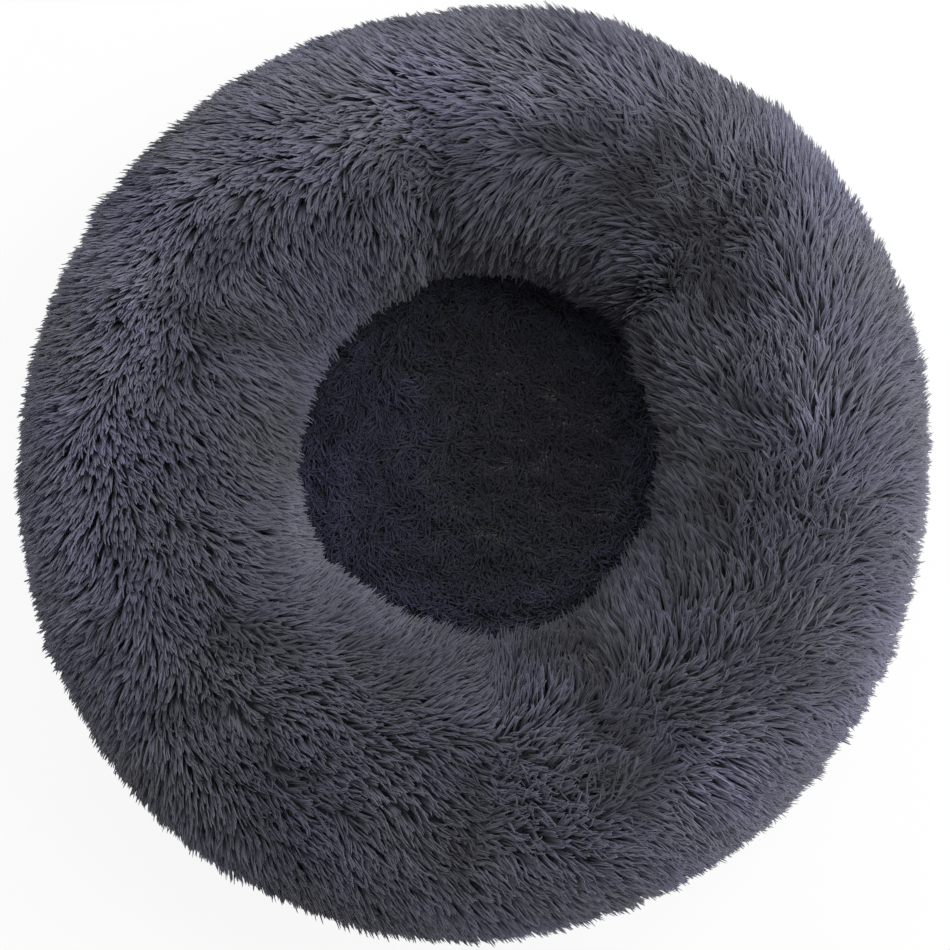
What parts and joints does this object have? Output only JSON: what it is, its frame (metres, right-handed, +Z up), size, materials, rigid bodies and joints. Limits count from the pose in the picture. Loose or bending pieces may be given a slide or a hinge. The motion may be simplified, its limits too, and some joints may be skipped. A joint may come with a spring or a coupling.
{
  "type": "pet bed",
  "caption": "Round plush pet bed with a stuffed bolster ring around a sunken sleeping pad, and a zip across the underside.",
  "frame": {"origin": "On the floor, under the middle of the bed's outline.", "axes": "+Z up; the zip runs along X across the underside; +Y is the top of the picture."},
  "size_m": [0.5824, 0.5968, 0.1911],
  "materials": {
    "plush": "long-pile faux fur, charcoal with paler blue-grey tips",
    "pad_plush": "shorter matted faux fur, dark charcoal",
    "casing": "thin white non-woven cloth",
    "fibre": "loose polyester fibre filling",
    "base_cloth": "black woven polyester with small raised grip dots",
    "tape": "black woven tape",
    "nylon": "black nylon coil",
    "slider_metal": "dark lacquered zinc"
  },
  "bodies": {
    "bed": {"bolster_cover": "plush", "bolster_liner": "casing", "bolster_stuffing": "fibre", "pad_cover": "pad_plush", "pad_liner_top": "casing", "pad_liner_bottom": "casing", "pad_stuffing": "fibre", "base_binding": "tape", "base_panel_front": "base_cloth", "base_panel_rear": "base_cloth", "zip_tape_front": "tape", "zip_tape_rear": "tape", "zip_coil_front": "nylon", "zip_coil_rear": "nylon", "zip_bottom_stop": "slider_metal", "zip_top_stop_front": "slider_metal", "zip_top_stop_rear": "slider_metal"},
    "slider": {"zip_slider": "slider_metal"},
    "pull": {"zip_pull": "slider_metal"}
  },
  "joints": [
    {"name": "zip_slide", "type": "slide", "parent": "bed", "child": "slider", "axis": [1, 0, 0], "range_m": [-0.3419, 0]},
    {"name": "pull_swing", "type": "hinge", "parent": "slider", "child": "pull", "pos_m": [0.17095, 0, 0.003], "axis": [0, -1, 0], "range_deg": [0, 180]}
  ]
}
